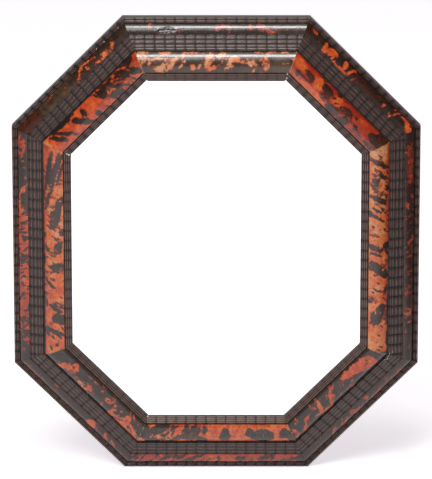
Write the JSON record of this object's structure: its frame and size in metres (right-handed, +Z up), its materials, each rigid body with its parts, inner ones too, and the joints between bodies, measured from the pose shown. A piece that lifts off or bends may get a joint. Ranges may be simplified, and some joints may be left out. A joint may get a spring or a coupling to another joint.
{
  "type": "octagonal wall mirror",
  "caption": "Octagonal wall mirror in a mitred frame that rises towards the glass, with dark rippled mouldings, convex tortoiseshell bands, a flush backboard and hanging rings.",
  "frame": {"origin": "middle of the flat back, on the outer face of the backboard, which is flush with the rails", "axes": "+Z up as the mirror hangs, +Y out of the back towards the wall, so that the glass faces -Y, and +X to the viewer's right"},
  "size_m": [0.506, 0.0474, 0.58],
  "materials": {
    "ebonised_pine": "blackened softwood, bare on the back",
    "ripple_wood": "stained and waxed fruitwood",
    "tortoiseshell": "polished shell over a red ground",
    "mirror_plate": "silvered plate glass",
    "bare_pine": "planed and aged",
    "beech": "planed",
    "hanger_brass": "dulled",
    "screw_steel": "dulled"
  },
  "bodies": {
    "mirror": {"core_rail_bottom": "ebonised_pine", "core_rail_bottom_right": "ebonised_pine", "core_rail_right": "ebonised_pine", "core_rail_top_right": "ebonised_pine", "core_rail_top": "ebonised_pine", "core_rail_top_left": "ebonised_pine", "core_rail_left": "ebonised_pine", "core_rail_bottom_left": "ebonised_pine", "outer_ripple_bottom": "ripple_wood", "outer_ripple_bottom_right": "ripple_wood", "outer_ripple_right": "ripple_wood", "outer_ripple_top_right": "ripple_wood", "outer_ripple_top": "ripple_wood", "outer_ripple_top_left": "ripple_wood", "outer_ripple_left": "ripple_wood", "outer_ripple_bottom_left": "ripple_wood", "outer_shell_bottom": "tortoiseshell", "outer_shell_bottom_right": "tortoiseshell", "outer_shell_right": "tortoiseshell", "outer_shell_top_right": "tortoiseshell", "outer_shell_top": "tortoiseshell", "outer_shell_top_left": "tortoiseshell", "outer_shell_left": "tortoiseshell", "outer_shell_bottom_left": "tortoiseshell", "middle_ripple_bottom": "ripple_wood", "middle_ripple_bottom_right": "ripple_wood", "middle_ripple_right": "ripple_wood", "middle_ripple_top_right": "ripple_wood", "middle_ripple_top": "ripple_wood", "middle_ripple_top_left": "ripple_wood", "middle_ripple_left": "ripple_wood", "middle_ripple_bottom_left": "ripple_wood", "inner_shell_bottom": "tortoiseshell", "inner_shell_bottom_right": "tortoiseshell", "inner_shell_right": "tortoiseshell", "inner_shell_top_right": "tortoiseshell", "inner_shell_top": "tortoiseshell", "inner_shell_top_left": "tortoiseshell", "inner_shell_left": "tortoiseshell", "inner_shell_bottom_left": "tortoiseshell", "sight_ripple_bottom": "ripple_wood", "sight_ripple_bottom_right": "ripple_wood", "sight_ripple_right": "ripple_wood", "sight_ripple_top_right": "ripple_wood", "sight_ripple_top": "ripple_wood", "sight_ripple_top_left": "ripple_wood", "sight_ripple_left": "ripple_wood", "sight_ripple_bottom_left": "ripple_wood", "mirror_glass": "mirror_plate", "glass_fillets": "bare_pine", "backboard": "bare_pine", "corner_splines": "beech", "backboard_screws": "screw_steel", "hanger_strap_left": "hanger_brass", "hanger_strap_right": "hanger_brass", "hanger_screws": "screw_steel"},
    "ring_left": {"hanger_ring_left": "hanger_brass"},
    "ring_right": {"hanger_ring_right": "hanger_brass"}
  },
  "joints": [
    {"name": "ring_left_swing", "type": "hinge", "parent": "mirror", "child": "ring_left", "pos_m": [-0.2249, 0.00285, 0.118], "axis": [1, 0, 0], "range_deg": [0, 180]},
    {"name": "ring_right_swing", "type": "hinge", "parent": "mirror", "child": "ring_right", "pos_m": [0.2249, 0.00285, 0.118], "axis": [1, 0, 0], "range_deg": [0, 180]}
  ]
}
